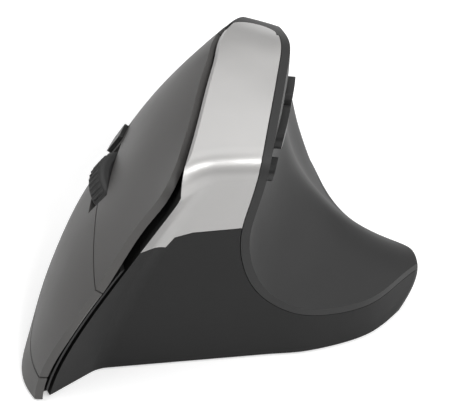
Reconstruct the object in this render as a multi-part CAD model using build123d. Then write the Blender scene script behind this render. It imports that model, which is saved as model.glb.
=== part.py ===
from build123d import *
import math
import os

os.makedirs("parts", exist_ok=True)

# Right-handed vertical mouse. Millimetres, +Z up, standing on its glide feet.
# -Y is the front (fingertip end), -X the finger side, +X the thumb side.

# Lines of the outer form, one station for each XZ section.
STATION_Y = [-66, -57, -48, -38, -27, -14, 2, 18, 32, 44, 52, 57, 59.5]
# x of the finger side at 0, 1/5 ... 5/5 of the ridge height
FINGER_X = [
    [-36.5, -33.8, -26.0, -16.4, -7.8, -1.8],
    [-45.2, -40.6, -31.8, -20.9, -11.6, -5.8],
    [-49.6, -44.0, -35.4, -24.7, -14.6, -6.4],
    [-50.2, -45.6, -37.9, -27.2, -16.5, -5.9],
    [-50.1, -46.1, -39.0, -28.9, -17.9, -5.2],
    [-49.5, -45.5, -39.0, -29.4, -18.7, -4.8],
    [-47.6, -43.1, -36.5, -28.2, -18.3, -4.3],
    [-43.4, -38.7, -32.3, -24.4, -14.9, -3.2],
    [-36.5, -32.2, -26.8, -19.6, -10.6, -0.4],
    [-27.0, -23.8, -19.8, -14.4, -7.8, -0.4],
    [-18.5, -16.2, -13.4, -9.8, -5.8, -1.2],
    [-11.5, -10.3, -8.7, -6.8, -4.6, -2.0],
    [-6.6, -6.1, -5.4, -4.5, -3.5, -2.2],
]
RIDGE_Z = [68.0, 68.6, 69.4, 70.4, 71.6, 72.6, 72.8, 70.2, 62.6, 50.6, 38.2, 26.0, 15.0]
# corner between the ridge and the thumb wall (x, z)
THUMB_CORNER = [
    (14.8, 66.8), (14.8, 67.4), (14.8, 68.1), (14.8, 69.0), (14.8, 70.1), (14.9, 71.1),
    (14.8, 71.2), (12.6, 68.4), (8.8, 60.4), (6.4, 49.0), (3.8, 36.9), (1.4, 25.2), (-0.4, 14.6),
]
# thumb wall, scoop and shelf (x, z), from the top down
FRONT_SCOOP = [(12.9, 58), (10.4, 47), (10.2, 38), (13.2, 27.0), (20.5, 18.6), (32, 14.6), (52, 14.0)]
THUMB_XZ = [
    FRONT_SCOOP,
    FRONT_SCOOP,
    FRONT_SCOOP,
    FRONT_SCOOP,
    [(13.0, 59), (10.8, 48.5), (11.0, 39), (14.0, 28.2), (21.1, 19.8), (32.5, 15.2), (53, 14.0)],
    [(13.8, 60), (12.3, 50), (12.7, 41), (16.2, 31.0), (23.4, 22.0), (34.4, 16.6), (53.4, 14.0)],
    [(14.2, 60), (13.5, 52), (14.5, 43.6), (18.2, 34.2), (25.2, 24.8), (35.4, 16.2), (49.9, 10.6)],
    [(13.0, 57), (12.6, 46.5), (13.4, 36.5), (15.7, 27), (20.0, 18), (26.0, 10), (33.4, 3.4)],
    [(10.6, 51), (11.3, 41), (12.3, 31.5), (14.1, 22.5), (16.8, 14.4), (19.8, 7.6), (22.8, 2.4)],
    [(8.8, 41), (10.4, 32.6), (12.0, 24.8), (13.4, 17.6), (15.0, 11.2), (16.5, 5.8), (17.8, 1.8)],
    [(6.4, 30.2), (8.1, 24), (9.4, 18.2), (10.4, 12.8), (11.3, 8.1), (12.0, 4.3), (12.5, 1.4)],
    [(3.6, 20.4), (4.8, 16.2), (5.6, 12.2), (6.2, 8.6), (6.6, 5.5), (6.9, 3.0), (7.0, 1.0)],
    [(0.8, 12.0), (1.5, 9.6), (2.0, 7.3), (2.3, 5.2), (2.5, 3.4), (2.6, 1.9), (2.7, 0.7)],
]
TOE_X = [47.5, 47.5, 47.5, 47.5, 47.6, 47.8, 46.2, 35.0, 24.4, 18.2, 12.7, 7.1, 2.8]
TOE_BULGE = [2.2, 2.2, 2.2, 2.2, 2.2, 2.2, 1.6, 0.5, 0.3, 0.2, 0.1, 0.1, 0.05]
# how far the side surfaces run on above the ridge, and how far the top is sunk at the rear
OVERRUN = [5, 5, 5, 5, 5, 5, 5, 4, 2, 0.5, 0, 0, 0]
# inward offsets get smaller where the rear end runs out
FADE = [1, 1, 1, 1, 1, 1, 1, 1, 1, 0.9, 0.6, 0.35, 0.15]
TOP_SINK = [0, 0, 0, 0, 0, 0, 0, 0, 0.1, 0.6, 1.0, 1.2, 1.4]
# how far down the slope from the ridge corner the finger panel ends
EDGE_DOWN = [4.8, 4.8, 4.8, 4.8, 3.6, 2.8, 2.35, 2.2, 2.0, 1.6, 1.1, 0.7, 0.3]
FINGER_PARAM = [0, 0.2, 0.4, 0.6, 0.8, 1]
THUMB_PARAM = [0, 0.14, 0.28, 0.41, 0.55, 0.69, 0.83, 1]
RIDGE_CROWN_R = 90.0

# Front face and the fin that reaches forwards from it.
FACE_Y0, FACE_SLOPE = -38.0, 0.26
SKIRT_XY = [(23, -32.2), (30.2, -29.4), (37, -25.8), (41.7, -22.3), (46.8, -15.8), (50.9, -9.2), (55.2, -1)]
SKIRT_START_X = 15.0
# inner side of the forward-reaching fin: height, point at the crease, point at the front edge
FIN_LINES = [
    (0, (-30, -46.3), (-42.2, -59)),
    (30, (-18.2, -42.2), (-29.8, -54)),
    (62, (-1.1, -37.3), (-8.2, -45)),
]
CREASE_R = 8.0
BEND_R = 6.5

# Walls and gaps.
FOOT_LIFT = 0.7            # underside of the housing above the table
WALL = 2.2                 # finger panel and thumb shell
COVER_WALL = 1.8           # ridge cover and front shell
SEAM = 0.2                 # gap between fixed covers
KEY_GAP = 0.45             # gap round a pressed key
CHANNEL = [5.2, 5.2, 5.1, 4.9, 4.4, 3.4]   # depth of the body behind the finger surface
RIDGE_WALL = 0.0           # upright left side of the ridge cover, from the ridge corner
BEVEL = 0.9                # slanted edge along that side
RIDGE_CLEAR = 0.7          # finger panel keeps this far from that side
FRAME_OUT, FRAME_IN = 3.4, 4.3   # inner frame sheet behind the finger surface
FRAME_TOP = 40.5           # its top near the front face
REAR_Y = 59.5


def shift(points, depth, side):
    out = []
    for i, (x, z) in enumerate(points):
        d = depth[i] if isinstance(depth, list) else depth
        x0, z0 = points[max(i - 1, 0)]
        x1, z1 = points[min(i + 1, len(points) - 1)]
        n = math.hypot(x1 - x0, z1 - z0)
        out.append((x + side * d * (z1 - z0) / n, z - side * d * (x1 - x0) / n))
    return out


def run_on(a, b, d):
    n = math.hypot(b[0] - a[0], b[1] - a[1])
    return (b[0] + d * (b[0] - a[0]) / n, b[1] + d * (b[1] - a[1]) / n)


def section(i, finger_in, thumb_in, wall=None):
    # wall: x of an upright side beside the ridge, counted from the ridge corner
    y = STATION_Y[i]
    f = [(x, RIDGE_Z[i] * k / 5) for k, x in enumerate(FINGER_X[i])]
    r = [THUMB_CORNER[i]] + THUMB_XZ[i]
    if isinstance(finger_in, list):
        finger_in = [d * FADE[i] for d in finger_in]
    elif finger_in > 0:
        finger_in = finger_in * FADE[i]
    if thumb_in > 0:
        thumb_in = thumb_in * FADE[i]
    f = shift(f, finger_in, 1)
    r = shift(r, thumb_in, 1)
    extra = 0.0
    if finger_in != 0.0:
        extra = finger_in[-1] if isinstance(finger_in, list) else abs(finger_in)
    if wall is None:
        f[-1] = run_on(f[-2], f[-1], OVERRUN[i] + 0.5 * extra)
        top = []
    else:
        xw = FINGER_X[i][-1] + wall * FADE[i]
        k = (xw - f[-2][0]) / (f[-1][0] - f[-2][0])
        f[-1] = (xw, f[-2][1] + k * (f[-1][1] - f[-2][1]))
        top = [(xw, RIDGE_Z[i] + OVERRUN[i] + 1.0)]
    r[0] = run_on(r[1], r[0], OVERRUN[i])
    b = (TOE_X[i] - thumb_in, 0.0)
    c = r[-1]
    m = ((b[0] + c[0]) / 2 + TOE_BULGE[i], c[1] / 2)
    d, g = (b[0] - 1.0, -5.0), (f[0][0] + 0.5, -5.0)

    def p(q):
        return (q[0], y, q[1])

    over = [f[-1]] + top + [r[0]]
    return Wire([
        Edge.make_spline([p(q) for q in f], parameters=FINGER_PARAM),
    ] + [Edge.make_line(p(over[j]), p(over[j + 1])) for j in range(len(over) - 1)] + [
        Edge.make_spline([p(q) for q in r], parameters=THUMB_PARAM),
        Edge.make_three_point_arc(p(c), p(m), p(b)),
        Edge.make_line(p(b), p(d)),
        Edge.make_line(p(d), p(g)),
        Edge.make_line(p(g), p(f[0])),
    ])


def sides(finger_in=0.0, thumb_in=0.0, wall=None):
    return Solid.make_loft([section(i, finger_in, thumb_in, wall) for i in range(len(STATION_Y))])


def ridge_cutter(down=None, across=0.0, lift=0.0, tilt=None, deep=12.0):
    # everything beyond a plane that runs along the ridge, tilted in degrees
    # or, with no tilt given, square to the finger side
    wires = []
    for i, y in enumerate(STATION_Y):
        (x0, z0), (x1, z1) = [(FINGER_X[i][k], RIDGE_Z[i] * k / 5) for k in (4, 5)]
        n = math.hypot(x1 - x0, z1 - z0)
        ux, uz = (x1 - x0) / n, (z1 - z0) / n
        d = down[i] if down else 0.0
        px, pz = x1 - d * ux + across * FADE[i], z1 - d * uz + lift
        nx, nz = -uz, ux
        if tilt is not None:
            nx, nz = -math.cos(math.radians(tilt)), -math.sin(math.radians(tilt))
            ux, uz = nz, -nx
        a = (px + deep * nx, pz + deep * nz)
        b = (px - deep * nx, pz - deep * nz)
        pts = [a, b, (b[0] + 25 * ux, b[1] + 25 * uz), (a[0] + 25 * ux, a[1] + 25 * uz)]
        wires.append(Wire.make_polygon([(x, y, z) for x, z in pts], close=True))
    return Solid.make_loft(wires)


def ridge_top(t):
    wires = []
    for i, y in enumerate(STATION_Y):
        x0, z0 = FINGER_X[i][-1], RIDGE_Z[i] - t - TOP_SINK[i]
        x1, z1 = THUMB_CORNER[i][0], THUMB_CORNER[i][1] - t - TOP_SINK[i]
        chord = math.hypot(x1 - x0, z1 - z0)
        ux, uz = (x1 - x0) / chord, (z1 - z0) / chord
        rr = RIDGE_CROWN_R - t
        k = math.sqrt(rr * rr - chord * chord / 4)
        cx, cz = (x0 + x1) / 2 + uz * k, (z0 + z1) / 2 - ux * k
        pts = [(x, y, cz + math.sqrt(rr * rr - (x - cx) ** 2)) for x in (-60.0, 4.0, 58.0)]
        wires.append(Wire([
            Edge.make_line((-60, y, -5), pts[0]),
            Edge.make_three_point_arc(*pts),
            Edge.make_line(pts[2], (58, y, -5)),
            Edge.make_line((58, y, -5), (-60, y, -5)),
        ]))
    return Solid.make_loft(wires)


def front_region(t=0.0):
    # everything behind the main front face or behind the inner side of the fin
    xl = -90
    n = math.hypot(1, FACE_SLOPE)
    nx, ny = -FACE_SLOPE / n, 1 / n
    def face_y(x):
        return FACE_Y0 + t * n + FACE_SLOPE * x
    xs = SKIRT_START_X + t * nx
    skirt = [(xs, face_y(xs))]
    ring = [(SKIRT_START_X, FACE_Y0 + FACE_SLOPE * SKIRT_START_X)] + SKIRT_XY
    for i in range(1, len(ring)):
        x0, y0 = ring[i - 1]
        x1, y1 = ring[min(i + 1, len(ring) - 1)]
        m = math.hypot(x1 - x0, y1 - y0)
        skirt.append((ring[i][0] - t * (y1 - y0) / m, ring[i][1] + t * (x1 - x0) / m))
    xe, ye = skirt[-1]
    outline = Wire([
        Edge.make_line((xl, face_y(xl), 0), (skirt[0][0], skirt[0][1], 0)),
        Edge.make_spline([(x, y, 0) for x, y in skirt], tangents=[(1, FACE_SLOPE, 0), (0.35, 1, 0)]),
        Edge.make_line((xe, ye, 0), (xe + 10, 80, 0)),
        Edge.make_line((xe + 10, 80, 0), (xl, 80, 0)),
        Edge.make_line((xl, 80, 0), (xl, face_y(xl), 0)),
    ])
    main = extrude(Face(outline), 90)
    rows = []
    for z, c, e in FIN_LINES:
        dx, dy = e[0] - c[0], e[1] - c[1]
        m = math.hypot(dx, dy)
        dx, dy = dx / m, dy / m
        ix, iy = dy, -dx
        c = (c[0] + t * ix, c[1] + t * iy)
        p0 = (c[0] - dx * 20, c[1] - dy * 20)
        p1 = (c[0] + dx * 60, c[1] + dy * 60)
        rows.append((z, p0, p1, (p1[0] - 42, p1[1] + 42), (p0[0] - 42, p0[1] + 42)))

    def between(a, b, z):
        k = (z - a[0]) / (b[0] - a[0])
        return (z,) + tuple((a[j][0] + k * (b[j][0] - a[j][0]), a[j][1] + k * (b[j][1] - a[j][1]))
                            for j in range(1, 5))

    rows = [between(rows[0], rows[1], -4.0)] + rows + [between(rows[1], rows[2], 90.0)]
    wires = [Wire.make_polygon([(q[0], q[1], row[0]) for q in row[1:]], close=True) for row in rows]
    fin = Solid.make_loft(wires) & Solid.make_box(400, 400, 90, Plane((-200, -200, 0)))
    both = main + fin
    crease = []
    for e in both.edges():
        q = e @ 0.5
        if abs(q.Z - 45) < 6 and -25 < q.X < 10 and -50 < q.Y < -30:
            crease.append(e)
    return both.fillet(CREASE_R + t, crease)


def region(t=0.0):
    # front region closed by the ridge top, with the bend between them
    fr = front_region(t)
    box = Solid.make_box(52, 140, 70, Plane((-22, -70, 30)))
    chunk = (fr & box & ridge_top(t)).solids()[0]
    bend = []
    for e in chunk.edges():
        m = e @ 0.5
        if m.Z > 58 and m.Y < -29 and abs((e @ 0).Z - (e @ 1).Z) < 20 and e.length > 2:
            bend.append(e)
    chunk = chunk.fillet(BEND_R - t, bend)
    return (fr - box) + chunk


def largest(shape):
    return max(shape.solids(), key=lambda s: s.volume)


def block(x0, x1, y0, y1, z0, z1):
    return Solid.make_box(x1 - x0, y1 - y0, z1 - z0, Plane((x0, y0, z0)))


ABOVE = block(-80, 80, -80, 80, FOOT_LIFT, 100)


# Local frame of the finger side: a forwards, b up the slope, c outwards.
SLOPE_POINT = (-32.0, -12.5, 39.7)
UP_X, UP_Z = 0.559, 0.829


def at(a, b, c):
    return (SLOPE_POINT[0] + b * UP_X - c * UP_Z, SLOPE_POINT[1] - a, SLOPE_POINT[2] + b * UP_Z + c * UP_X)


def slope_block(a0, a1, b0, b1, c0, c1):
    base = Plane(origin=at(a0, b0, c0), x_dir=(0, -1, 0), z_dir=(-UP_Z, 0, UP_X))
    return Solid.make_box(a1 - a0, b1 - b0, c1 - c0, base)


def slope_post(a, b, c0, c1, r):
    base = Plane(origin=at(a, b, c0), x_dir=(0, -1, 0), z_dir=(-UP_Z, 0, UP_X))
    return Solid.make_cylinder(r, c1 - c0, base)


def slope_rod(a, c, b0, b1, r):
    base = Plane(origin=at(a, b0, c), x_dir=(0, -1, 0), z_dir=(UP_X, 0, UP_Z))
    return Solid.make_cylinder(r, b1 - b0, base)


def slope_pad(a0, a1, b0, b1, c0, c1, r):
    base = Plane(origin=at((a0 + a1) / 2, (b0 + b1) / 2, c0), x_dir=(0, -1, 0), z_dir=(-UP_Z, 0, UP_X))
    return extrude(base * RectangleRounded(a1 - a0, b1 - b0, r), c1 - c0).solid()


def slope_prism(front, c0, c1):
    # everything behind a line in the finger side's own frame, closed far behind it
    pts = [Vector(*at(a, b, c0)) for a, b in front]
    low, high = Vector(*at(-90, front[-1][1], c0)), Vector(*at(-90, front[0][1], c0))
    face = Face(Wire([
        Edge.make_spline(pts),
        Edge.make_line(pts[-1], low),
        Edge.make_line(low, high),
        Edge.make_line(high, pts[0]),
    ]))
    return Solid.extrude(face, Vector(-UP_Z, 0, UP_X) * (c1 - c0))


def post(x, y, z0, z1, r):
    return Solid.make_cylinder(r, z1 - z0, Plane((x, y, z0)))


def rod_x(x0, x1, y, z, r):
    return Solid.make_cylinder(r, x1 - x0, Plane(origin=(x0, y, z), z_dir=(1, 0, 0)))


def rod_y(x, y0, y1, z, r):
    return Solid.make_cylinder(r, y1 - y0, Plane(origin=(x, y0, z), z_dir=(0, 1, 0)))


def pad(x0, x1, y0, y1, z0, z1, r):
    base = Plane(origin=((x0 + x1) / 2, (y0 + y1) / 2, z0))
    return extrude(base * RectangleRounded(x1 - x0, y1 - y0, r), z1 - z0).solid()


def side_pad(y0, y1, z0, z1, x0, x1, r):
    base = Plane(origin=(x0, (y0 + y1) / 2, (z0 + z1) / 2), x_dir=(0, 1, 0), z_dir=(1, 0, 0))
    return extrude(base * RectangleRounded(y1 - y0, z1 - z0, r), x1 - x0).solid()


def prism_xz(points, y0, y1):
    face = Face(Wire.make_polygon([(x, y0, z) for x, z in points], close=True))
    return Solid.extrude(face, Vector(0, y1 - y0, 0))


# Finger side: how it is split into buttons, wheel slot and spine.
SPLIT_A = 10.6             # half length of the wheel slot
SLOT_B = 4.5               # half width of the wheel slot
SPINE_B = 5.2              # half width of the spine behind the wheel
KEY_REAR_Y = 15.2          # rear seam of the two main buttons
# front edge of the finger panel (a, b), from above the ridge down to the skirt
PANEL_FRONT = [
    (8.0, 46.0), (20.6, 36.4), (25.6, 33.9), (29.0, 30.1), (30.4, 25.0), (31.6, 18.5),
    (34.6, 10.5), (38.5, 1.5), (42.6, -12.6), (45.6, -31.8), (46.8, -52.0),
]
SKIRT_Z = 8.3              # top of the fixed skirt below the middle button
SKIRT_GAP = 0.6
KEY_BIG = 60.0

WHEEL_C = -8.5
WHEEL_R = 11.5
TYRE_IN = 9.0
TYRE_HALF = 3.5
HUB_HALF = 3.2
AXLE_R = 1.0
RUN_FIT = 0.05
FIX_FIT = 0.02
CHEEK_IN, CHEEK_OUT = 4.2, 5.7
GUIDE_IN, GUIDE_OUT = 6.0, 7.5
CARRIER_A = 4.4
CARRIER_FLOOR = -21.5
CARRIER_WALL = 1.2

PCB = 1.6
FPCB_C = -13.0             # outer face of the finger-side board
SWITCH_A0, SWITCH_L, SWITCH_W, SWITCH_H = 7.0, 12.8, 5.8, 6.5
SWITCH_B = (12.5, -13.5)   # index and middle
PLUNGER_A = 16.0
PLUNGER_UP = 0.8
TOUCH = 0.05               # rest gap between a key's post and its switch plunger

HINGE_A = -24.0
HINGE_C = (-8.2, -12.2)    # index and middle
PIN_R = 0.8
KNUCKLE_R = 1.9

DPI_A, DPI_B_HALF, DPI_A_HALF = -16.4, 4.0, 3.3
DPI_PROUD = 1.2

# Thumb keys in the thumb wall: y0, y1, z0, z1.
THUMB_KEYS = {
    "rear": (2.1, 13.2, 54.6, 60.4),
    "mid": (-13.5, 1.0, 54.4, 60.6),
    "front": (-27.3, -20.5, 55.6, 61.4),
}
THUMB_PROUD = 2.0
TPCB_X = 4.0

# Underside.
PLATE_TOP = 2.9
FOOT_SINK = 0.2
CELL_R, CELL_L = 7.25, 49.5
CELL_X, CELL_Y0, CELL_Z = 6.0, -24.0, 10.65
MAIN_X0, MAIN_X1, MAIN_Y0, MAIN_Y1, MAIN_Z = -33.5, -3.4, -32.0, 21.2, 6.0
SENSOR_X, SENSOR_Y = -10.5, -6.0
BAY_X, BAY_Y = -15.0, 34.0
POWER_X, POWER_Y = -23.0, 13.0
BASE_SCREWS = [(-20.0, -38.0), (21.0, -28.0), (-5.0, 45.5), (38.0, -6.0), (-35.4, 25.0)]
BOARD_SCREWS = [(-30.4, -28.5), (-30.4, 18.2), (-6.6, -28.5)]

# footprint centre moved onto the origin
CENTRE_X, CENTRE_Y = 1.35, -0.2

nodes = {}

# Shells.
R_OUT = region(0.0)
R_IN = region(COVER_WALL)
outer = sides() & R_OUT & ABOVE
panel = (outer - sides(WALL, -5.0)) - ridge_cutter(down=EDGE_DOWN)
panel = panel - ridge_cutter(across=RIDGE_WALL - RIDGE_CLEAR, tilt=-90.0)
panel = largest(panel & slope_prism(PANEL_FRONT, -60, 30))

half = KEY_GAP / 2
index_zone = (
    slope_block(SPLIT_A, KEY_BIG, half, KEY_BIG, -30, 30)
    + slope_block(KEY_GAP - SPLIT_A, SPLIT_A, SLOT_B, KEY_BIG, -30, 30)
    + slope_block(-KEY_BIG, KEY_GAP - SPLIT_A, SPINE_B + KEY_GAP, KEY_BIG, -30, 30)
)
index_zone = index_zone & block(-80, 80, -80, KEY_REAR_Y - half, 0, 100)
middle_zone = (
    slope_block(SPLIT_A, KEY_BIG, -KEY_BIG, -half, -30, 30)
    + slope_block(KEY_GAP - SPLIT_A, SPLIT_A, -KEY_BIG, -SLOT_B, -30, 30)
    + slope_block(-KEY_BIG, KEY_GAP - SPLIT_A, -KEY_BIG, -SPINE_B - KEY_GAP, -30, 30)
)
middle_zone = middle_zone & block(-80, 80, -80, KEY_REAR_Y - half, SKIRT_Z + SKIRT_GAP, 100)
skirt_zone = block(-80, 80, -80, KEY_REAR_Y + 5, -1, SKIRT_Z)
rear_zone = block(-80, 80, KEY_REAR_Y + half, 80, -1, 100)
spine_zone = slope_block(-KEY_BIG, -SPLIT_A, -SPINE_B, SPINE_B, -30, 30)
spine_zone = spine_zone & block(-80, 80, -80, KEY_REAR_Y + 5, -1, 100)

index_skin = largest(panel & index_zone)
middle_skin = largest(panel & middle_zone)
finger_shell = largest(panel & (rear_zone + skirt_zone + spine_zone))
dpi_hole = slope_pad(DPI_A - DPI_A_HALF - 0.3, DPI_A + DPI_A_HALF + 0.3,
                     -DPI_B_HALF - 0.3, DPI_B_HALF + 0.3, -12, 12, 2.0)
finger_shell = finger_shell - dpi_hole
fx, fy = BASE_SCREWS[4]
finger_shell = finger_shell + (post(fx, fy, PLATE_TOP, 10.0, 3.0) & sides(WALL / 2, 0))
finger_shell = finger_shell - post(fx, fy, PLATE_TOP - 1, 9.0, 1.0 + FIX_FIT)

core = sides(CHANNEL, 0.0, RIDGE_WALL) & R_OUT & ABOVE
inside_thumb = sides(-5.0, WALL + SEAM)
inner_core = sides([d + COVER_WALL for d in CHANNEL], -5.0, RIDGE_WALL + COVER_WALL) & R_IN
cover = (core & inside_thumb) - inner_core

SILVER_XZ = [(15, 48.3), (-4, 48), (-8.5, 46.8), (-10.8, 43.6), (-30, 51.0)]
END_X, END_Y, END_R = 3.5, 16.6, 6.6
SPLIT_L, SPLIT_R = SILVER_XZ[-1][1], SILVER_XZ[0][1]
above = prism_xz(SILVER_XZ + [(-60, SPLIT_L), (-60, 100), (40, 100), (40, SPLIT_R)], -80, 80)
below = prism_xz([(x, z - SEAM) for x, z in SILVER_XZ]
                 + [(-60, SPLIT_L - SEAM), (-60, -6), (60, -6), (60, SPLIT_R - SEAM)], -80, 80)
front_part = block(-80, 80, -80, END_Y, -10, 100) + post(END_X, END_Y, 30, 100, END_R)
low_flange = block(-60, 8, -33.5, 80, -10, 58)
ridge_cover = (cover & above & front_part) - low_flange
ridge_cover = largest(ridge_cover - ridge_cutter(across=RIDGE_WALL, lift=-BEVEL, tilt=45.0))
F_OUT = front_region(0.0)
F_IN = front_region(COVER_WALL)


def back(shape, d):
    return shape.moved(Location((0, d, 0)))


plate_shape = sides(WALL + 0.3, WALL + 0.5) & back(F_IN, 0.35)
plate_room = sides(WALL + 0.15, WALL + 0.35) & back(F_IN, 0.15) & block(-80, 80, -80, 80, -3, PLATE_TOP + 0.1)
front_shell = cover & below & block(-80, 80, -80, 25, -10, 100)
front_shell = front_shell - block(-80, 13, -33.5, 80, -10, 100)
front_shell = largest(front_shell - plate_room)

JOIN_Y = END_Y + SEAM
thumb_layer = (sides(-5.0, 0.0) & R_OUT & ABOVE & block(-80, 80, -80, JOIN_Y, -1, 100)) - sides(-6.0, WALL)
rear_cover = sides(WALL + SEAM, 0.0, RIDGE_WALL) & R_OUT & ABOVE & block(-80, 80, JOIN_Y, 80, -1, 100)
rear_cover = rear_cover - (sides(-5.0, WALL) & R_IN & block(-80, 80, JOIN_Y - 1, REAR_Y - WALL, -8, 100))
rear_cover = rear_cover - post(END_X, END_Y, 30, 100, END_R + SEAM)
thumb_shell = largest(thumb_layer + rear_cover)

# base plate: sensor window, cell opening, receiver bay, power slot, standoffs
DOOR_X0, DOOR_X1 = CELL_X - 7.6, CELL_X + 7.6
DOOR_Y0, DOOR_Y1 = CELL_Y0 - 3.0, CELL_Y0 + CELL_L + 3.6
DOOR_TRAVEL = 3.0
DOOR_GAP = 0.2
base_plate = plate_shape & block(-80, 80, -80, REAR_Y - WALL - SEAM, FOOT_LIFT, PLATE_TOP)
for x, y in BOARD_SCREWS:
    base_plate = base_plate + post(x, y, PLATE_TOP - 0.5, MAIN_Z, 2.4)
    base_plate = base_plate - post(x, y, PLATE_TOP + 0.2, MAIN_Z + 1, 0.9 + FIX_FIT)
RX, RY, RW = 7.4, 3.4, 1.2
base_plate = base_plate + block(BAY_X - RX - RW, BAY_X + RX + RW, BAY_Y - RY - RW, BAY_Y + RY + RW,
                                PLATE_TOP - 0.5, 18.0)
base_plate = base_plate - block(BAY_X - RX, BAY_X + RX, BAY_Y - RY, BAY_Y + RY, -1, 19.0)
base_plate = base_plate - pad(DOOR_X0, DOOR_X1, DOOR_Y0, DOOR_Y1, -1, 5, 1.0)
base_plate = base_plate - pad(SENSOR_X - 4.2, SENSOR_X + 4.2, SENSOR_Y - 5.2, SENSOR_Y + 5.2, -1, 5, 2.0)
base_plate = base_plate - pad(POWER_X - 1.8, POWER_X + 1.8, POWER_Y - 4.2, POWER_Y + 4.2, -1, 5, 1.0)
for x, y in BASE_SCREWS:
    base_plate = base_plate - post(x, y, -1, 5, 1.1)
    base_plate = base_plate - post(x, y, -1, 1.9, 2.2)
FEET = [
    (-40.0, -26.0, -37.0, -32.5), (26.0, 41.0, -16.5, -12.0), (-9.0, 4.0, 50.0, 54.0), (-41.0, -37.0, -14.0, 8.0),
]
for x0, x1, y0, y1 in FEET:
    base_plate = base_plate - pad(x0, x1, y0, y1, -1, FOOT_LIFT + FOOT_SINK, 1.9)
ring_out = pad(SENSOR_X - 8.5, SENSOR_X + 6.5, SENSOR_Y - 9, SENSOR_Y + 9, 0, FOOT_LIFT + FOOT_SINK, 3.0)
base_plate = base_plate - pad(SENSOR_X - 8.5, SENSOR_X + 6.5, SENSOR_Y - 9, SENSOR_Y + 9, -1,
                              FOOT_LIFT + FOOT_SINK, 3.0)
nodes["base_plate"] = largest(base_plate)

feet = [pad(x0 + 0.1, x1 - 0.1, y0 + 0.1, y1 - 0.1, 0, FOOT_LIFT + FOOT_SINK, 1.8) for x0, x1, y0, y1 in FEET]
nodes["glide_feet"] = Compound(feet)
ring_foot = pad(SENSOR_X - 8.4, SENSOR_X + 6.4, SENSOR_Y - 8.9, SENSOR_Y + 8.9, 0, FOOT_LIFT + FOOT_SINK, 2.9)
ring_foot = ring_foot - pad(SENSOR_X - 4.6, SENSOR_X + 4.6, SENSOR_Y - 5.6, SENSOR_Y + 5.6, -1, 3, 2.2)
nodes["sensor_glide"] = ring_foot

# bosses for the base screws
def boss(shell, k, top, r, limit):
    x, y = BASE_SCREWS[k]
    shell = shell + (post(x, y, PLATE_TOP, top, r) & limit)
    return shell - post(x, y, PLATE_TOP - 1, 9.0, 1.0 + FIX_FIT)


front_shell = boss(front_shell, 0, 13.0, 3.0, sides(CHANNEL, -5) & back(F_OUT, 0.9))
front_shell = boss(front_shell, 1, 12.0, 3.0, back(F_OUT, 0.9))
thumb_shell = boss(thumb_shell, 2, 50.0, 3.0, sides(WALL + 1, WALL / 2) & R_OUT.moved(Location((0, 0, -0.9))))
thumb_shell = boss(thumb_shell, 3, 15.5, 3.0, sides(-5, WALL / 2))

# thumb wall openings and board posts
thumb_keys = {}
for name, (y0, y1, z0, z1) in THUMB_KEYS.items():
    r = (z1 - z0) * 0.42
    thumb_shell = thumb_shell - side_pad(y0, y1, z0, z1, 8, 30, r)
TPOSTS = [(16.0, 56.6), (-17.0, 56.6)]
TP_Z0, TP_Z1 = 52.6, 61.6
TP_Y0, TP_Y1 = -29.4, 18.6
for y, z in TPOSTS:
    thumb_shell = thumb_shell + (rod_x(TPCB_X + PCB, 13.5, y, z, 1.7) & sides(-5, WALL / 2))
    thumb_shell = thumb_shell - rod_x(TPCB_X + PCB - 1, 11.0, y, z, 0.9 + FIX_FIT)
nodes["thumb_shell"] = largest(thumb_shell)
nodes["front_shell"] = largest(front_shell)
nodes["ridge_cover"] = ridge_cover
nodes["finger_shell"] = largest(finger_shell)

# thumb keys: cap, retaining flange, stem onto the switch
TSW_H, TSW_UP = 2.0, 0.6
FLANGE_Y, FLANGE_Z = 0.35, 0.7
TSW_X = TPCB_X + PCB
for name, (y0, y1, z0, z1) in THUMB_KEYS.items():
    r = (z1 - z0) * 0.42
    g = 0.3
    cap = side_pad(y0 + g, y1 - g, z0 + g, z1 - g, 8, 30, r - g) & (sides(-5, -THUMB_PROUD) - sides(-6, WALL + 1.2))
    flange = side_pad(y0 - FLANGE_Y, y1 + FLANGE_Y, z0 - FLANGE_Z, z1 + FLANGE_Z, 6, 30, r + FLANGE_Y)
    flange = flange & (sides(-5, WALL + 0.25) - sides(-6, WALL + 1.25))
    ym, zm = (y0 + y1) / 2, (z0 + z1) / 2
    stem = rod_x(TSW_X + TSW_H + TSW_UP + TOUCH, 13.0, ym, zm, 1.3) & sides(-5, WALL + 0.8)
    key = largest(cap + flange + stem)
    nodes["thumb_key_" + name] = key
thumb_board = block(TPCB_X, TPCB_X + PCB, TP_Y0, TP_Y1, TP_Z0, TP_Z1)
thumb_cases = []
for name, (y0, y1, z0, z1) in THUMB_KEYS.items():
    ym, zm = (y0 + y1) / 2, (z0 + z1) / 2
    case = block(TSW_X, TSW_X + TSW_H, ym - 2.3, ym + 2.3, zm - 2.3, zm + 2.3)
    thumb_cases.append(case - rod_x(TSW_X + 0.8, TSW_X + 5, ym, zm, 1.1 + RUN_FIT))
    nodes["thumb_plunger_" + name] = rod_x(TSW_X + 1.4, TSW_X + TSW_H + TSW_UP, ym, zm, 1.1)
nodes["thumb_switches"] = Compound(thumb_cases)
for y, z in TPOSTS:
    thumb_board = thumb_board - rod_x(TPCB_X - 1, TPCB_X + 5, y, z, 1.1)
nodes["thumb_board"] = thumb_board

# Finger side: keys, hinges, inner frame.
def knuckle(b0, b1, k):
    arm = slope_block(HINGE_A - 1.3, HINGE_A + 1.3, b0, b1, HINGE_C[k], 2)
    arm = arm & sides(WALL / 2, -5)
    return arm + slope_rod(HINGE_A, HINGE_C[k], b0, b1, KNUCKLE_R)


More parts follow.
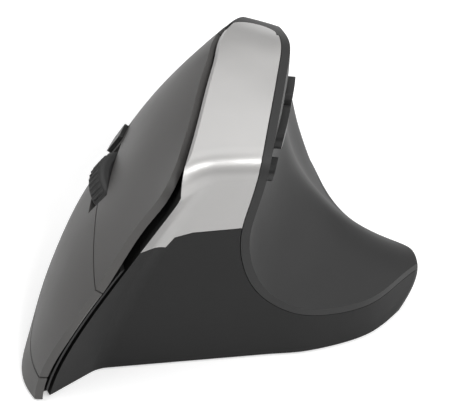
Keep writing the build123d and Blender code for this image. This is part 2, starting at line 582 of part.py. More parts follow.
KNUCKLES = [[(10, 13), (22, 25)], [(-13, -10), (-25, -22)]]
LUGS = [[(13.3, 15.5), (19.5, 21.7)], [(-15.5, -13.3), (-21.7, -19.5)]]
PINS = [(9.6, 25.4), (-25.4, -9.6)]
SW_TOP = FPCB_C + SWITCH_H
keys = []
for k, skin in enumerate([index_skin, middle_skin]):
    key = skin
    for b0, b1 in KNUCKLES[k]:
        key = key + knuckle(b0, b1, k)
    stem = slope_post(PLUNGER_A, SWITCH_B[k], SW_TOP + PLUNGER_UP + TOUCH, 2, 1.6) & sides(WALL / 2, -5)
    key = key + stem
    key = key - slope_rod(HINGE_A, HINGE_C[k], PINS[k][0] - 1, PINS[k][1] + 1, PIN_R + RUN_FIT)
    keys.append(largest(key))
nodes["index_key"] = keys[0]
nodes["middle_key"] = keys[1]
nodes["hinge_pins"] = Compound([slope_rod(HINGE_A, HINGE_C[k], PINS[k][0], PINS[k][1], PIN_R) for k in (0, 1)])

frame = (sides(FRAME_OUT, -5.0) - sides(FRAME_IN, -6.0)) & R_OUT & block(-80, 80, -80, 16.5, PLATE_TOP, 57)
frame = (frame & back(F_OUT, 0.8)) - block(-60, 40, -80, -32.5, FRAME_TOP, 100)
frame = frame - slope_block(-12.0, 12.0, -8.2, 8.2, -40, 10)
for k in (0, 1):
    frame = frame - slope_block(SWITCH_A0 - 1, SWITCH_A0 + SWITCH_L + 1, SWITCH_B[k] - 3.9, SWITCH_B[k] + 3.9, -40, 10)
frame = frame - slope_block(DPI_A - 4.5, DPI_A + 4.4, -5.2, 5.2, -40, 10)
frame = largest(frame)
for k in (0, 1):
    for b0, b1 in LUGS[k]:
        lug = slope_block(HINGE_A - 1.6, HINGE_A + 1.6, b0, b1, HINGE_C[k] - 1.9, 0) & sides((FRAME_OUT + FRAME_IN) / 2, -5)
        frame = frame + lug
    for b0, b1 in KNUCKLES[k]:
        frame = frame - slope_block(HINGE_A - 2.6, HINGE_A + 2.6, b0 - 0.3, b1 + 0.3, -40, 10)
    frame = frame - slope_rod(HINGE_A, HINGE_C[k], PINS[k][0] - 1, PINS[k][1] + 1, PIN_R + FIX_FIT)
FPOSTS = [(-16.5, 14.0), (-13.0, -17.5), (3.0, -18.0), (3.0, 16.0)]
for a, b in FPOSTS:
    frame = frame + (slope_post(a, b, FPCB_C, 0, 1.7) & sides((FRAME_OUT + FRAME_IN) / 2, -5))
    frame = frame - slope_post(a, b, FPCB_C - 1, FPCB_C + 3.5, 0.9 + FIX_FIT)
nodes["finger_frame"] = largest(frame)

board = slope_block(-20.0, 20.5, -22.0, 20.0, FPCB_C - PCB, FPCB_C)
board = board - slope_block(-13.0, 13.0, -4.1, 4.1, -30, 0)
board = board - slope_block(-5.1, 5.1, -GUIDE_OUT - 0.3, GUIDE_OUT + 0.3, -30, 0)
for a, b in FPOSTS:
    board = board - slope_post(a, b, -30, 0, 1.1)
nodes["finger_board"] = board
cases, plungers = [], []
for k in (0, 1):
    b = SWITCH_B[k]
    case = slope_block(SWITCH_A0, SWITCH_A0 + SWITCH_L, b - SWITCH_W / 2, b + SWITCH_W / 2, FPCB_C, SW_TOP)
    cases.append(case - slope_post(PLUNGER_A, b, SW_TOP - 2.0, SW_TOP + 1, 1.1 + RUN_FIT))
    plungers.append(slope_post(PLUNGER_A, b, SW_TOP - 1.3, SW_TOP + PLUNGER_UP, 1.1))
nodes["main_switches"] = Compound(cases)
nodes["index_plunger"] = plungers[0]
nodes["middle_plunger"] = plungers[1]

# Pointer speed key behind the wheel.
DSW_H, DSW_UP = 3.6, 0.7
dpi_shape = slope_pad(DPI_A - DPI_A_HALF, DPI_A + DPI_A_HALF, -DPI_B_HALF, DPI_B_HALF, -12, 12, 1.8)
dpi_cap = dpi_shape & (sides(-DPI_PROUD, -5) - sides(WALL + 0.6, -6))
dpi_flange = slope_block(DPI_A - 4.0, DPI_A + 4.0, -4.8, 4.8, -12, 12) & (sides(WALL + 0.3, -5) - sides(WALL + 1.2, -6))
dpi_stem = slope_post(DPI_A, 0, FPCB_C + DSW_H + DSW_UP + TOUCH, 0, 1.5) & sides(WALL + 0.5, -5)
dpi_key = largest(dpi_cap + dpi_flange + dpi_stem)
inset = slope_pad(DPI_A - 2.3, DPI_A - 0.9, -2.6, 2.6, -12, 12, 0.6)
inset_room = slope_pad(DPI_A - 2.3 - FIX_FIT, DPI_A - 0.9 + FIX_FIT, -2.6 - FIX_FIT, 2.6 + FIX_FIT, -12, 12, 0.6)
nodes["dpi_key"] = largest(dpi_key - (inset_room & (sides(-6, -5) - sides(0.0, -6))))
nodes["dpi_inset"] = largest(inset & (sides(-DPI_PROUD - 0.1, -5) - sides(0.0, -6)))
dcase = slope_block(DPI_A - 3, DPI_A + 3, -3, 3, FPCB_C, FPCB_C + DSW_H)
nodes["dpi_switch"] = dcase - slope_post(DPI_A, 0, FPCB_C + DSW_H - 1.6, 0, 1.6 + RUN_FIT)
nodes["dpi_plunger"] = slope_post(DPI_A, 0, FPCB_C + DSW_H - 1.0, FPCB_C + DSW_H + DSW_UP, 1.6)

# Scroll wheel.
hub = slope_rod(0, WHEEL_C, -HUB_HALF, HUB_HALF, TYRE_IN)
for i in range(12):
    ang = math.radians(i * 30 + 15)
    hub = hub - slope_rod(6.8 * math.cos(ang), WHEEL_C + 6.8 * math.sin(ang), -5, 5, 0.9)
hub = hub - slope_rod(0, WHEEL_C, -5, 5, AXLE_R + FIX_FIT)
nodes["wheel_hub"] = hub
tyre = slope_rod(0, WHEEL_C, -TYRE_HALF, TYRE_HALF, WHEEL_R)
tyre = tyre - slope_rod(0, WHEEL_C, -5, 5, TYRE_IN)
tyre = tyre.fillet(1.2, [e for e in tyre.edges().filter_by(GeomType.CIRCLE) if abs(e.radius - WHEEL_R) < 0.01])
nodes["wheel_tyre"] = tyre
nodes["wheel_axle"] = slope_rod(0, WHEEL_C, -CHEEK_OUT, CHEEK_OUT, AXLE_R)
carrier = slope_block(-CARRIER_A, CARRIER_A, -CHEEK_OUT, CHEEK_OUT, CARRIER_FLOOR - CARRIER_WALL, WHEEL_C + 3)
carrier = carrier - slope_block(-20, 20, -CHEEK_IN, CHEEK_IN, CARRIER_FLOOR, 0)
carrier = carrier - slope_rod(0, WHEEL_C, -9, 9, AXLE_R + RUN_FIT)
nodes["wheel_carrier"] = carrier
WSW_UP, WSW_H = 0.7, 3.4
GUIDE_FLOOR = CARRIER_FLOOR - CARRIER_WALL - TOUCH - WSW_UP - WSW_H
guide = slope_block(-4.8, 4.8, -GUIDE_OUT, GUIDE_OUT, GUIDE_FLOOR - 1.4, FPCB_C)
guide = guide - slope_block(-20, 20, -GUIDE_IN, GUIDE_IN, GUIDE_FLOOR, 0)
lip = slope_block(-4.8, 4.8, -11.0, 11.0, FPCB_C - PCB - 1.4, FPCB_C - PCB)
guide = guide + (lip - slope_block(-20, 20, -GUIDE_IN, GUIDE_IN, -30, 0))
nodes["wheel_guide"] = guide.solid() if isinstance(guide, Compound) else guide
wcase = slope_block(-3, 3, -3, 3, GUIDE_FLOOR, GUIDE_FLOOR + WSW_H)
nodes["wheel_switch"] = wcase - slope_post(0, 0, GUIDE_FLOOR + WSW_H - 1.6, 0, 1.6 + RUN_FIT)
nodes["wheel_plunger"] = slope_post(0, 0, GUIDE_FLOOR + WSW_H - 1.0, GUIDE_FLOOR + WSW_H + WSW_UP, 1.6)
eye = slope_block(5.6, 8.0, 4.3, 6.1, FPCB_C, WHEEL_C + 1.7)
eye2 = slope_block(5.6, 8.0, -6.1, -4.3, FPCB_C, WHEEL_C + 1.7)
nodes["wheel_emitter"] = eye + slope_post(6.8, 5.2, WHEEL_C + 1.7, WHEEL_C + 2.2, 0.8)
nodes["wheel_detector"] = eye2

# Main board, sensor, chips, ribbons.
main_board = block(MAIN_X0, MAIN_X1, MAIN_Y0, MAIN_Y1, MAIN_Z, MAIN_Z + PCB)
for x, y in BOARD_SCREWS:
    main_board = main_board - post(x, y, 0, 20, 1.1)
main_board = main_board - pad(SENSOR_X - 3, SENSOR_X + 3, SENSOR_Y - 3, SENSOR_Y + 3, 0, 20, 1.0)
main_board = main_board & sides(FRAME_IN + 0.4, -5) & back(F_IN, 0.6)
nodes["main_board"] = largest(main_board)
BT = MAIN_Z + PCB
nodes["optical_sensor"] = block(SENSOR_X - 4.9, SENSOR_X + 4.9, SENSOR_Y - 5.5, SENSOR_Y + 5.5, BT, BT + 2.6)
lens = pad(SENSOR_X - 4.0, SENSOR_X + 4.0, SENSOR_Y - 5.0, SENSOR_Y + 5.0, 2.4, MAIN_Z, 1.6)
lens = lens - post(SENSOR_X, SENSOR_Y - 1.5, 2.0, 3.2, 1.5)
nodes["sensor_lens"] = lens
nodes["controller_chip"] = block(-27, -20, -20, -13, BT, BT + 1.0)
nodes["radio_chip"] = block(-16, -11, 12, 17, BT, BT + 0.9)


def ribbon(points, y0, y1, t):
    left, right = [], []
    for i, (x, z) in enumerate(points):
        x0, z0 = points[max(i - 1, 0)]
        x1, z1 = points[min(i + 1, len(points) - 1)]
        n = math.hypot(x1 - x0, z1 - z0)
        left.append((x - t / 2 * (z1 - z0) / n, z + t / 2 * (x1 - x0) / n))
        right.append((x + t / 2 * (z1 - z0) / n, z - t / 2 * (x1 - x0) / n))
    return prism_xz(left + right[::-1], y0, y1)


nodes["finger_ribbon"] = ribbon([(-27.3, 15.6), (-26.0, 13.6), (-25.2, 11.5), (-25.0, BT + 0.3)], -4.0, 5.0, 0.4)
nodes["thumb_ribbon"] = ribbon([(TPCB_X - 0.3, 54.2), (2.4, 50.0), (-1.0, 38.0), (-4.4, 22.0), (-5.8, 12.0), (-6.2, BT + 0.3)],
                               -26.2, -19.4, 0.4)

# Cell, holder, contacts, door.
HOLD_R = CELL_R + 0.35
HOLD_Y0, HOLD_Y1 = CELL_Y0 - 3.0, CELL_Y0 + CELL_L + 1.9
holder = block(CELL_X - 8.7, CELL_X + 8.7, HOLD_Y0 - 1.4, HOLD_Y1 + 1.4, PLATE_TOP + 0.1, 12.0)
holder = holder - rod_y(CELL_X, HOLD_Y0, HOLD_Y1, CELL_Z, HOLD_R)
holder = holder - block(CELL_X - HOLD_R, CELL_X + HOLD_R, HOLD_Y0, HOLD_Y1, 0, CELL_Z)
nodes["cell_holder"] = holder
nodes["cell"] = rod_y(CELL_X, CELL_Y0, CELL_Y0 + CELL_L, CELL_Z, CELL_R)
nodes["cell_terminal"] = rod_y(CELL_X, CELL_Y0 + CELL_L, CELL_Y0 + CELL_L + 1.0, CELL_Z, 2.7)
nodes["contact_plate"] = block(CELL_X - 4, CELL_X + 4, HOLD_Y1 - 0.6, HOLD_Y1, CELL_Z - 4.5, CELL_Z + 4.5)
turns = []
for i in range(4):
    ring_r = 4.4 - 0.5 * i
    coil = Plane(origin=(CELL_X, HOLD_Y0 + 0.35 + 0.72 * i, CELL_Z), z_dir=(0, 1, 0))
    turns.append(Solid.make_torus(ring_r, 0.33, coil))
nodes["contact_spring"] = Compound(turns)
door = pad(DOOR_X0 + DOOR_GAP, DOOR_X1 - DOOR_GAP, DOOR_Y0 + DOOR_GAP, DOOR_Y1 - DOOR_TRAVEL - 0.4,
           FOOT_LIFT + FOOT_SINK, PLATE_TOP - 0.05, 0.9)
for i in range(4):
    y = DOOR_Y1 - 16.0 + 2.4 * i
    door = door - block(CELL_X - 4.5, CELL_X + 4.5, y, y + 1.0, 0, FOOT_LIFT + FOOT_SINK + 0.5)
nodes["cell_door"] = door

# Receiver and power switch.
receiver = pad(BAY_X - 7.1, BAY_X + 7.1, BAY_Y - 3.1, BAY_Y + 3.1, FOOT_LIFT + FOOT_SINK, 7.0, 0.8)
nodes["receiver_grip"] = receiver
plug = block(BAY_X - 6.0, BAY_X + 6.0, BAY_Y - 2.25, BAY_Y + 2.25, 7.0, 18.4)
plug = plug - block(BAY_X - 5.6, BAY_X + 5.6, BAY_Y - 1.85, BAY_Y + 0.1, 8.4, 19)
nodes["receiver_plug"] = plug
nodes["power_switch"] = (block(POWER_X - 3.4, POWER_X + 3.4, POWER_Y - 5.5, POWER_Y + 5.5, 3.1, MAIN_Z)
                         - block(POWER_X - 1.6, POWER_X + 1.6, POWER_Y - 3.8, POWER_Y + 3.8, 2, 4.9))
nodes["power_slider"] = (pad(POWER_X - 1.5, POWER_X + 1.5, POWER_Y - 3.7, POWER_Y + 1.0, 1.1, 4.6, 0.5)
                         - block(POWER_X - 2, POWER_X + 2, POWER_Y - 1.6, POWER_Y - 1.0, 0, 1.5))

# Screws.
def screw(head, shank, cut):
    return (head + shank) - cut


base_screws = []
for x, y in BASE_SCREWS:
    cross = block(x - 1.2, x + 1.2, y - 0.25, y + 0.25, 0, 1.6) + block(x - 0.25, x + 0.25, y - 1.2, y + 1.2, 0, 1.6)
    base_screws.append(screw(post(x, y, 1.0, 1.9, 2.0), post(x, y, 1.9, 8.6, 1.0), cross))
nodes["base_screws"] = Compound(base_screws)
board_screws = []
for x, y in BOARD_SCREWS:
    cut = block(x - 1.0, x + 1.0, y - 0.2, y + 0.2, BT + 0.5, 20)
    board_screws.append(screw(post(x, y, BT, BT + 1.0, 1.8), post(x, y, 3.4, BT, 0.9), cut))
for a, b in FPOSTS:
    lo = FPCB_C - PCB
    cut = slope_block(a - 1.0, a + 1.0, b - 0.2, b + 0.2, lo - 2, lo - 0.5)
    board_screws.append(screw(slope_post(a, b, lo - 1.0, lo, 1.8), slope_post(a, b, lo, FPCB_C + 3.2, 0.9), cut))
for y, z in TPOSTS:
    cut = block(TPCB_X - 2, TPCB_X - 0.5, y - 1.0, y + 1.0, z - 0.2, z + 0.2)
    board_screws.append(screw(rod_x(TPCB_X - 1.0, TPCB_X, y, z, 1.8), rod_x(TPCB_X, 10.6, y, z, 0.9), cut))
nodes["board_screws"] = Compound(board_screws)

for name, shape in nodes.items():
    export_step(shape.moved(Location((-CENTRE_X, -CENTRE_Y, 0))), "parts/" + name + ".step")
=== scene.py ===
import math

import bpy
from mathutils import Matrix, Vector


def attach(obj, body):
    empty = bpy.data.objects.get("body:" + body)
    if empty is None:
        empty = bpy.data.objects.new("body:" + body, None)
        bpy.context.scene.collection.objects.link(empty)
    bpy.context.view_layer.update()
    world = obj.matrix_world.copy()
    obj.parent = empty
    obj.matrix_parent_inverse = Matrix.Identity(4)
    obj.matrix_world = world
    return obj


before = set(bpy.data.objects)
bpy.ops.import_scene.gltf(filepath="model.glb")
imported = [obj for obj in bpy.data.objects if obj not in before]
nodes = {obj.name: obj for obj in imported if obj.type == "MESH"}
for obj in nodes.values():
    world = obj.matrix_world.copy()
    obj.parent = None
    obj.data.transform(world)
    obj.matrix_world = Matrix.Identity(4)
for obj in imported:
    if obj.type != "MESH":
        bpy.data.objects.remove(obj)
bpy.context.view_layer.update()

# Lengths are in metres. MM turns millimetres into them, and UM does so for micrometres.
MM, UM = 1e-3, 1e-6
WHITE = (1, 1, 1, 1)
# The part's source moves every solid by this much to centre it. Places here are given before that.
SHIFT = Vector((-1.35, 0.2, 0.0)) * MM

# Camera at the photograph's angle: degrees from the front, degrees up, and metres away.
AZIMUTH, ELEVATION, DISTANCE = 8.0, 43.0, 0.6
AIM = Vector((0.0, -9.0, 30.0)) * MM + SHIFT
# Film width and lens in the millimetres that Blender's camera takes.
FILM_WIDTH, LENS = 36.0, 178.6
NEAR_CLIP = 0.01


def link_object(name, data):
    """A new object in the scene."""
    thing = bpy.data.objects.new(name, data)
    bpy.context.scene.collection.objects.link(thing)
    return thing


def add_camera():
    """The camera that looks at the mouse as the photograph does."""
    data = bpy.data.cameras.new("photo_camera")
    data.sensor_width = FILM_WIDTH
    data.lens = LENS
    data.clip_start = NEAR_CLIP
    cam = link_object("photo_camera", data)
    az, el = math.radians(AZIMUTH), math.radians(ELEVATION)
    away = Vector((math.sin(az) * math.cos(el), -math.cos(az) * math.cos(el), math.sin(el)))
    cam.location = AIM + away * DISTANCE
    cam.rotation_euler = away.to_track_quat("Z", "Y").to_euler()
    bpy.context.scene.camera = cam


add_camera()


# Helpers for node trees.
def new_group(name, kind, inputs, outputs):
    """A node group. Each input has a label, a socket type and a default, or None for no default."""
    tree = bpy.data.node_groups.new(name, kind)
    for label, socket_type, value in inputs:
        socket = tree.interface.new_socket(name=label, in_out="INPUT", socket_type=socket_type)
        if value is not None:
            socket.default_value = value
    for label, socket_type in outputs:
        tree.interface.new_socket(name=label, in_out="OUTPUT", socket_type=socket_type)
    return tree, tree.nodes.new("NodeGroupInput"), tree.nodes.new("NodeGroupOutput")


def add_node(tree, kind, values=None, sources=None):
    """A new node. Its inputs, by label, get fixed values or other nodes' outputs."""
    node = tree.nodes.new(kind)
    for label, value in (values or {}).items():
        node.inputs[label].default_value = value
    for label, source in (sources or {}).items():
        tree.links.new(source, node.inputs[label])
    return node


def add_product(tree, source, factor):
    """The output of a node that multiplies an output by a number or by another output."""
    node = tree.nodes.new("ShaderNodeMath")
    node.operation = "MULTIPLY"
    tree.links.new(source, node.inputs[0])
    if isinstance(factor, float):
        node.inputs[1].default_value = factor
    else:
        tree.links.new(factor, node.inputs[1])
    return node.outputs[0]


def new_material(name, values):
    """A material whose main shader gets fixed values by label."""
    mat = bpy.data.materials.new(name)
    mat.use_nodes = True
    shader = mat.node_tree.nodes["Principled BSDF"]
    for label, value in values.items():
        shader.inputs[label].default_value = value
    return mat, mat.node_tree, shader


# Surfaces. Grain and patch sizes are counts per metre, and PATCH_LOW and PATCH_HIGH are the noise
# levels between which one shade turns into the other.
GRAIN_DETAIL, PATCH_DETAIL = 2.0, 3.0
GRAIN_PER_M, PATCH_PER_M = 3000.0, 45.0
PATCH_LOW, PATCH_HIGH = 0.35, 0.65


def mould_grain_group():
    """Fine moulded grain and slow patches, from Object coordinates."""
    tree, given, result = new_group(
        "mould_grain", "ShaderNodeTree",
        [("Grain per m", "NodeSocketFloat", GRAIN_PER_M), ("Grain depth", "NodeSocketFloat", 0.3)],
        [("Height", "NodeSocketFloat"), ("Patch", "NodeSocketFloat")])
    place = tree.nodes.new("ShaderNodeTexCoord").outputs["Object"]
    fine = add_node(tree, "ShaderNodeTexNoise", {"Detail": GRAIN_DETAIL},
                    {"Vector": place, "Scale": given.outputs["Grain per m"]})
    slow = add_node(tree, "ShaderNodeTexNoise", {"Detail": PATCH_DETAIL, "Scale": PATCH_PER_M},
                    {"Vector": place})
    height = add_product(tree, fine.outputs["Fac"], given.outputs["Grain depth"])
    tree.links.new(height, result.inputs["Height"])
    tree.links.new(slow.outputs["Fac"], result.inputs["Patch"])
    return tree


def two_tone_group():
    """Two colours mixed by the patches, and the share of the second one."""
    tree, given, result = new_group(
        "two_tone", "ShaderNodeTree",
        [("Mask", "NodeSocketFloat", 0.5), ("Colour A", "NodeSocketColor", None),
         ("Colour B", "NodeSocketColor", None)],
        [("Colour", "NodeSocketColor"), ("Level", "NodeSocketFloat")])
    ramp = add_node(tree, "ShaderNodeMapRange", {"From Min": PATCH_LOW, "From Max": PATCH_HIGH},
                    {"Value": given.outputs["Mask"]})
    mix = tree.nodes.new("ShaderNodeMix")
    mix.data_type = "RGBA"
    tree.links.new(ramp.outputs["Result"], mix.inputs["Factor"])
    tree.links.new(given.outputs["Colour A"], mix.inputs["A"])
    tree.links.new(given.outputs["Colour B"], mix.inputs["B"])
    tree.links.new(mix.outputs["Result"], result.inputs["Colour"])
    tree.links.new(ramp.outputs["Result"], result.inputs["Level"])
    return tree


GRAIN = mould_grain_group()
TWO_TONE = two_tone_group()


def add_grain(tree, shader, depth, bump, per_m=GRAIN_PER_M):
    """Grain as bump on a shader. The node that makes it also gives the patches."""
    grain = tree.nodes.new("ShaderNodeGroup")
    grain.node_tree = GRAIN
    grain.inputs["Grain per m"].default_value = per_m
    grain.inputs["Grain depth"].default_value = depth
    relief = add_node(tree, "ShaderNodeBump", {"Distance": bump * UM},
                      {"Height": grain.outputs["Height"]})
    tree.links.new(relief.outputs["Normal"], shader.inputs["Normal"])
    return grain


def grained(name, dark, light, rough, rough_span=0.06, metallic=0.0, per_m=2600.0, depth=0.3,
            bump=10, coat=0.0, coat_rough=0.2, sheen=0.0, specular=0.5):
    """A surface in two close shades, with roughness that follows them and fine grain as bump."""
    mat, tree, shader = new_material(name, {
        "Metallic": metallic, "Specular IOR Level": specular, "Coat Weight": coat,
        "Coat Roughness": coat_rough, "Sheen Weight": sheen, "Sheen Roughness": 0.5})
    grain = add_grain(tree, shader, depth, bump, per_m)
    tones = tree.nodes.new("ShaderNodeGroup")
    tones.node_tree = TWO_TONE
    tones.inputs["Colour A"].default_value = (*dark, 1)
    tones.inputs["Colour B"].default_value = (*light, 1)
    tree.links.new(grain.outputs["Patch"], tones.inputs["Mask"])
    tree.links.new(tones.outputs["Colour"], shader.inputs["Base Color"])
    spread = add_node(tree, "ShaderNodeMapRange",
                      {"To Min": rough - rough_span, "To Max": rough + rough_span},
                      {"Value": tones.outputs["Level"]})
    tree.links.new(spread.outputs["Result"], shader.inputs["Roughness"])
    return mat


def clear_lens():
    """The clear plastic of the lens under the sensor."""
    mat, tree, shader = new_material("lens_clear", {
        "Base Color": (0.85, 0.9, 0.95, 1), "Roughness": 0.06, "Transmission Weight": 0.9,
        "IOR": 1.49})
    add_grain(tree, shader, depth=0.1, bump=10)
    return mat


def grey(value, warm=0.0):
    """A grey, with its red raised and its blue lowered by the share warm."""
    return (value * (1 + warm), value, value * (1 - warm))


# In each line: the name, the darker and the lighter shade, the roughness and its spread.
# The bump is in micrometres.
panel_satin = grained("panel_satin_grey", grey(0.074, 0.03), grey(0.082, 0.03), 0.44, 0.04,
                      per_m=5200, depth=0.5, bump=20, coat=0.1, coat_rough=0.35, specular=0.4)
ridge_silver = grained("ridge_satin_silver", grey(0.42, 0.015), grey(0.45, 0.015), 0.36, 0.03,
                       metallic=0.3, per_m=9000, depth=0.4, bump=5, coat=0.5, coat_rough=0.24)
front_black = grained("front_matt_black", grey(0.010), grey(0.013), 0.55, 0.05,
                      per_m=3600, depth=0.6, bump=30, specular=0.3)
thumb_soft = grained("thumb_soft_touch", grey(0.021), grey(0.026), 0.58, 0.04,
                     per_m=4200, depth=0.5, bump=20, sheen=0.06, specular=0.35)
key_black = grained("thumb_key_satin", grey(0.022), grey(0.026), 0.36, 0.03, per_m=5000)
base_black = grained("base_plate_matt", grey(0.022), grey(0.028), 0.62, 0.05,
                     per_m=1800, depth=0.8, bump=50)
tyre_rubber = grained("wheel_rubber", grey(0.026), grey(0.034), 0.62, 0.05,
                      per_m=2500, depth=0.6, bump=30)
hub_plastic = grained("wheel_hub_plastic", grey(0.03), grey(0.036), 0.38, 0.04)
inner_plastic = grained("inner_frame_plastic", grey(0.012), grey(0.016), 0.55, 0.05,
                        per_m=2000, bump=40)
ivory_plastic = grained("natural_plastic", (0.62, 0.6, 0.54), (0.68, 0.66, 0.6), 0.4)
inset_bright = grained("inset_bright_metal", grey(0.72), grey(0.78), 0.25, 0.03,
                       metallic=0.9, bump=4)
board_mask = grained("board_solder_mask", (0.015, 0.10, 0.035), (0.02, 0.13, 0.045), 0.35, 0.04,
                     per_m=1500, depth=0.8, bump=20, coat=0.4)
chip_resin = grained("chip_resin", grey(0.018), grey(0.026), 0.55, per_m=6000, bump=20)
glide_film = grained("glide_film", grey(0.16), grey(0.19), 0.35, per_m=900)
steel_plain = grained("plated_steel", grey(0.52), grey(0.58), 0.28, 0.05,
                      metallic=1.0, per_m=3000, bump=6)
cell_wrap = grained("cell_wrap_plain", (0.10, 0.13, 0.17), (0.12, 0.15, 0.19), 0.28, 0.03,
                    bump=4, coat=0.5)
ribbon_film = grained("ribbon_film", (0.62, 0.58, 0.46), (0.68, 0.64, 0.52), 0.4, bump=6)
switch_resin = grained("switch_resin", grey(0.022), grey(0.028), 0.4)
lens_clear = clear_lens()

# Which nodes of the part each surface goes on.
FINISH = [
    (panel_satin, ["index_key", "middle_key", "finger_shell"]),
    (ridge_silver, ["ridge_cover"]),
    (front_black, ["front_shell"]),
    (thumb_soft, ["thumb_shell"]),
    (key_black, ["thumb_key_rear", "thumb_key_mid", "thumb_key_front", "dpi_key"]),
    (base_black, ["base_plate", "cell_door", "receiver_grip"]),
    (inset_bright, ["dpi_inset"]),
    (tyre_rubber, ["wheel_tyre"]),
    (hub_plastic, ["wheel_hub"]),
    (inner_plastic, ["wheel_carrier", "wheel_guide", "finger_frame", "cell_holder"]),
    (steel_plain, ["wheel_axle", "hinge_pins", "base_screws", "board_screws", "contact_plate",
                   "contact_spring", "cell_terminal", "receiver_plug"]),
    (cell_wrap, ["cell"]),
    (board_mask, ["finger_board", "main_board", "thumb_board"]),
    (chip_resin, ["controller_chip", "radio_chip", "optical_sensor", "wheel_emitter",
                  "wheel_detector"]),
    (lens_clear, ["sensor_lens"]),
    (glide_film, ["glide_feet", "sensor_glide"]),
    (ribbon_film, ["finger_ribbon", "thumb_ribbon"]),
    (switch_resin, ["main_switches", "thumb_switches", "dpi_switch", "wheel_switch",
                    "power_switch"]),
    (ivory_plastic, ["power_slider", "index_plunger", "middle_plunger", "dpi_plunger",
                     "wheel_plunger", "thumb_plunger_rear", "thumb_plunger_mid",
                     "thumb_plunger_front"]),
]
for surface, names in FINISH:
    for name in names:
        for slot in nodes[name].material_slots:
            slot.material = surface

# The finger side's own frame: up its slope and straight out of it. The wheel's axle lies
# WHEEL_DEPTH below SLOPE_POINT.
SLOPE_POINT = Vector((-32.0, -12.5, 39.7)) * MM + SHIFT
UP_SLOPE = Vector((0.559, 0.0, 0.829)).normalized()
OUTWARD = Vector((-0.829, 0.0, 0.559)).normalized()
WHEEL_DEPTH = 8.5 * MM

# Faces of the silver cover that look out over the finger side, by cosine, and lie below this
# height are its flange. It gets dark plastic as painted shade for the gap beside the finger keys.
FLANGE_FACING = 0.78
FLANGE_TOP = 68.5 * MM


def darken_flange_as_shade(name, shade_plastic):
    """The cover's flange beside the keys gets the dark plastic, as painted shade for the gap there.
    """
    mesh = nodes[name].data
    mesh.materials.append(shade_plastic)
    shade_index = len(mesh.materials) - 1
    for face in mesh.polygons:
        if face.normal.dot(OUTWARD) > FLANGE_FACING and face.center.z < FLANGE_TOP:
            face.material_index = shade_index


# The flange is coloured dark as painted shade for the gap between the cover and the finger keys.
darken_flange_as_shade("ridge_cover", inner_plastic)

# Grip ribs of the wheel: round bars across the tyre, with their centres just under its surface.
RIB_COUNT = 44
RIB_SIDES = 10
RIB_SIZES = {"Wheel radius": 11.35 * MM, "Rib length": 4.6 * MM, "Rib width": 0.9 * MM}


def rib_tree():
    """Geometry nodes that set a ring of bars about the Z axis."""
    tree, given, result = new_group(
        "wheel_ribs", "GeometryNodeTree",
        [("Count", "NodeSocketInt", RIB_COUNT)]
        + [(label, "NodeSocketFloat", size) for label, size in RIB_SIZES.items()]
        + [("Rubber", "NodeSocketMaterial", None)],
        [("Geometry", "NodeSocketGeometry")])
    tree.is_modifier = True
    circle = add_node(tree, "GeometryNodeMeshCircle",
                      sources={"Vertices": given.outputs["Count"],
                               "Radius": given.outputs["Wheel radius"]})
    rib_radius = add_product(tree, given.outputs["Rib width"], 0.5)
    rib = add_node(tree, "GeometryNodeMeshCylinder", {"Vertices": RIB_SIDES},
                   {"Radius": rib_radius, "Depth": given.outputs["Rib length"]})
    ring = add_node(tree, "GeometryNodeInstanceOnPoints",
                    sources={"Points": circle.outputs["Mesh"], "Instance": rib.outputs["Mesh"]})
    real = add_node(tree, "GeometryNodeRealizeInstances",
                    sources={"Geometry": ring.outputs["Instances"]})
    coloured = add_node(tree, "GeometryNodeSetMaterial",
                        sources={"Geometry": real.outputs["Geometry"],
                                 "Material": given.outputs["Rubber"]})
    tree.links.new(coloured.outputs["Geometry"], result.inputs["Geometry"])
    return tree


def built_from(tree, name, values):
    """An object with the mesh that a geometry node tree makes from these values."""
    host = link_object(name + "_host", bpy.data.meshes.new(name + "_host"))
    mod = host.modifiers.new("build", "NODES")
    mod.node_group = tree
    for item in tree.interface.items_tree:
        if item.item_type == "SOCKET" and item.in_out == "INPUT" and item.name in values:
            mod[item.identifier] = values[item.name]
    graph = bpy.context.evaluated_depsgraph_get()
    mesh = bpy.data.meshes.new_from_object(host.evaluated_get(graph))
    bpy.data.objects.remove(host)
    return link_object(name, mesh)


ribs = built_from(rib_tree(), "tyre_ribs",
                  {"Count": RIB_COUNT, **RIB_SIZES, "Rubber": tyre_rubber})
wheel_place = Matrix.Translation(SLOPE_POINT - OUTWARD * WHEEL_DEPTH)
wheel_turn = UP_SLOPE.to_track_quat("Z", "Y").to_matrix().to_4x4()
ribs.data.transform(wheel_place @ wheel_turn)
for face in ribs.data.polygons:
    face.use_smooth = True
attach(ribs, "wheel")

# Studio: a white floor that glows a little where the camera sees it.
FLOOR_HALF_WIDTH = 3.0
FLOOR_COLOUR = (0.86, 0.86, 0.86, 1)
FLOOR_GLOW = 0.35
# Strength of the white world for every ray but the camera's, and for the camera's.
WORLD_FILL, WORLD_SEEN = 0.16, 1.0
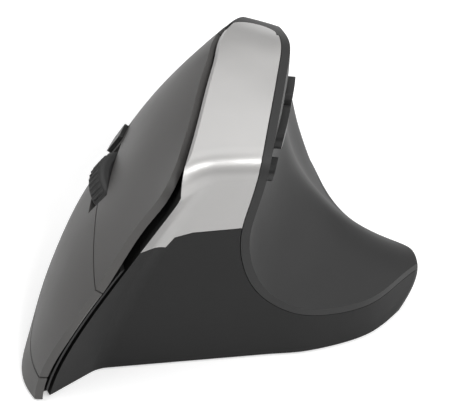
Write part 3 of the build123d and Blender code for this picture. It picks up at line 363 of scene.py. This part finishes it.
# Each lamp has its place, the height over the origin that it aims at, its two sides, all in
# metres, and its watts.
LAMPS = [
    ("softbox_left", (-0.7, -0.2, 1.2), 0.03, (0.9, 0.9), 6.5),
    ("softbox_top", (0.1, 0.5, 1.3), 0.03, (1.7, 1.3), 9.5),
    ("softbox_right", (1.1, -0.2, 0.7), 0.03, (0.6, 0.9), 9.0),
    ("lamp_front_high", (0.42, -0.52, 0.75), 0.05, (0.2, 0.2), 3.2),
]


def add_floor():
    """The studio floor, level with the mouse's feet."""
    mat, tree, shader = new_material("studio_white", {
        "Base Color": FLOOR_COLOUR, "Roughness": 0.9, "Specular IOR Level": 0.1,
        "Emission Color": WHITE})
    seen = tree.nodes.new("ShaderNodeLightPath").outputs["Is Camera Ray"]
    tree.links.new(add_product(tree, seen, FLOOR_GLOW), shader.inputs["Emission Strength"])
    mesh = bpy.data.meshes.new("studio_floor")
    w = FLOOR_HALF_WIDTH
    mesh.from_pydata([(-w, -w, 0), (w, -w, 0), (w, w, 0), (-w, w, 0)], [], [(0, 1, 2, 3)])
    mesh.materials.append(mat)
    floor = link_object("studio_floor", mesh)


def add_lamp(name, place, aim_height, size, watts):
    """A flat lamp that faces a point above the origin."""
    data = bpy.data.lights.new(name, "AREA")
    data.shape = "RECTANGLE"
    data.size, data.size_y = size
    data.energy = watts
    lamp = link_object(name, data)
    lamp.location = place
    aim = Vector((0, 0, aim_height))
    lamp.rotation_euler = (Vector(place) - aim).to_track_quat("Z", "Y").to_euler()


def light_world():
    """A white backdrop for the camera, and a dim fill light for the mouse."""
    world = bpy.data.worlds.new("studio_world")
    bpy.context.scene.world = world
    world.use_nodes = True
    tree = world.node_tree
    back = tree.nodes["Background"]
    back.inputs["Color"].default_value = WHITE
    seen = tree.nodes.new("ShaderNodeLightPath").outputs["Is Camera Ray"]
    level = add_node(tree, "ShaderNodeMapRange", {"To Min": WORLD_FILL, "To Max": WORLD_SEEN},
                     {"Value": seen})
    tree.links.new(level.outputs["Result"], back.inputs["Strength"])


add_floor()
for lamp_row in LAMPS:
    add_lamp(*lamp_row)
light_world()

bpy.context.scene.view_settings.view_transform = "Standard"
